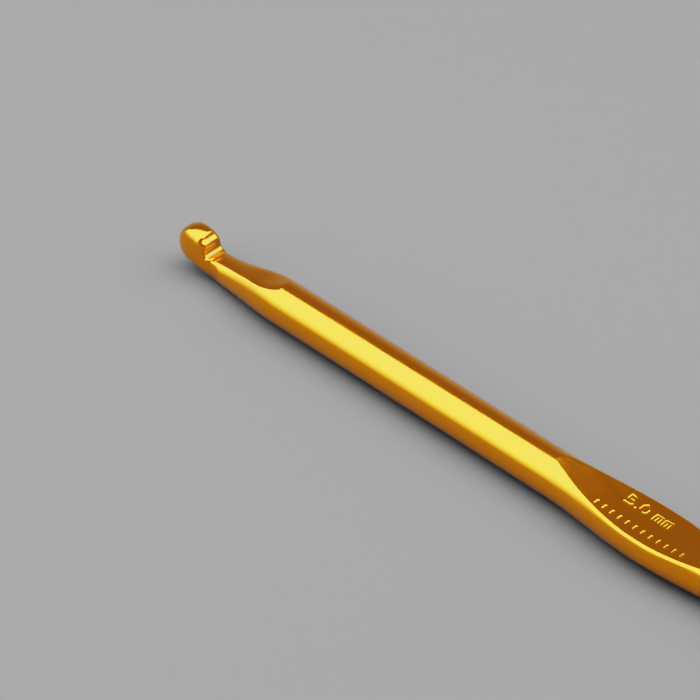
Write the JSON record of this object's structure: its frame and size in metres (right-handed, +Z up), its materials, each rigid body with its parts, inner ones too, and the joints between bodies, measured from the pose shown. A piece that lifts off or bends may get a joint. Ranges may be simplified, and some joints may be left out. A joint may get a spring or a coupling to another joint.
{
  "type": "crochet hook",
  "caption": "One-piece metal crochet hook: round head with an open mouth, tapered throat, round shaft, pressed oval thumb rest and a round handle with a domed end.",
  "frame": {"origin": "centre of the bounding box in X and Y, at the surface the hook lies on", "axes": "+X along the bar from the hook's tip to the end of the handle, +Z up, the side that the mouth and the thumb rest face, +Y across the bar"},
  "size_m": [0.15, 0.0066, 0.0055],
  "materials": {
    "gold_anodised_aluminium": "bright drawn aluminium, anodised gold"
  },
  "bodies": {
    "root": {"hook_head": "gold_anodised_aluminium", "throat": "gold_anodised_aluminium", "shaft": "gold_anodised_aluminium", "thumb_rest": "gold_anodised_aluminium", "handle": "gold_anodised_aluminium"}
  },
  "joints": []
}
